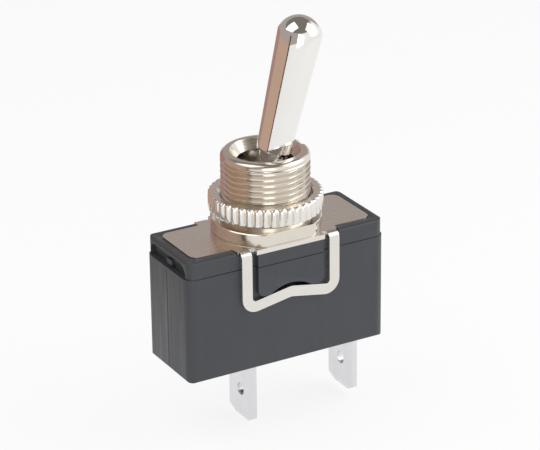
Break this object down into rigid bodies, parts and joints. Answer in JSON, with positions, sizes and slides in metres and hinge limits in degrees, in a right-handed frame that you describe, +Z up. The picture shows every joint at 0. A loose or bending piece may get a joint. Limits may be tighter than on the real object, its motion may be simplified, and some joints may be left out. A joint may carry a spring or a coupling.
{
  "type": "panel toggle switch",
  "caption": "Panel toggle switch with a bat lever, threaded bushing, knurled ring nut, folded sheet frame, moulded housing and push-on tabs.",
  "frame": {"origin": "on the bushing's axis, on top of the bushing's flange", "axes": "+Z up the bushing, out of the panel; X along the long side of the housing, +X towards the contact tab; Y across it"},
  "size_m": [0.03, 0.0152, 0.0557],
  "materials": {
    "black_moulding": "moulded thermoset, satin",
    "nickel_sheet": "bright nickel plate on pressed steel sheet",
    "nickel_turned": "nickel plate on turned brass, with a rolled thread",
    "nickel_knurled": "bright nickel plate on a knurled brass nut",
    "chrome_lever": "polished nickel plate on a turned brass lever",
    "steel_pin": "ground steel",
    "brass": "pressed brass",
    "spring_steel": "drawn spring wire",
    "nylon": "moulded nylon, natural",
    "copper_strip": "rolled copper strip",
    "silver": "silver contact face",
    "fibre_block": "moulded insulating block",
    "tinned_tab": "nickel plate on brass strip"
  },
  "bodies": {
    "housing": {"base": "black_moulding", "cover": "black_moulding", "frame": "nickel_sheet", "bushing": "nickel_turned", "ring_nut": "nickel_knurled", "pivot_pin": "steel_pin", "pin_retainer": "brass", "rocker_pin": "brass", "cradle": "brass", "cradle_rivet": "brass", "stop_block": "fibre_block", "common_terminal": "tinned_tab", "contact_terminal": "tinned_tab", "fixed_contact": "silver"},
    "lever": {"lever": "chrome_lever", "lever_spring": "spring_steel"},
    "plunger": {"plunger": "nylon", "spring_washer": "steel_pin"},
    "rocker": {"rocker": "copper_strip", "moving_contact": "silver"}
  },
  "joints": [
    {"name": "lever_throw", "type": "hinge", "parent": "housing", "child": "lever", "pos_m": [0, 0, 0.004], "axis": [0, 1, 0], "range_deg": [-30, 0]},
    {"name": "plunger_slide", "type": "slide", "parent": "lever", "child": "plunger", "axis": [-0.2588, 0, -0.9659], "range_m": [-0.0005, 0.0003], "stiffness_N_per_m": 300, "springref_m": 0.0003, "deforming": ["lever_spring"]},
    {"name": "rocker_tip", "type": "hinge", "parent": "housing", "child": "rocker", "pos_m": [0, 0, -0.0099], "axis": [0, 1, 0], "range_deg": [0, 14]}
  ],
  "couplings": [
    {"joint": "rocker_tip", "follows": "lever_throw", "ratio": -0.46667}
  ]
}
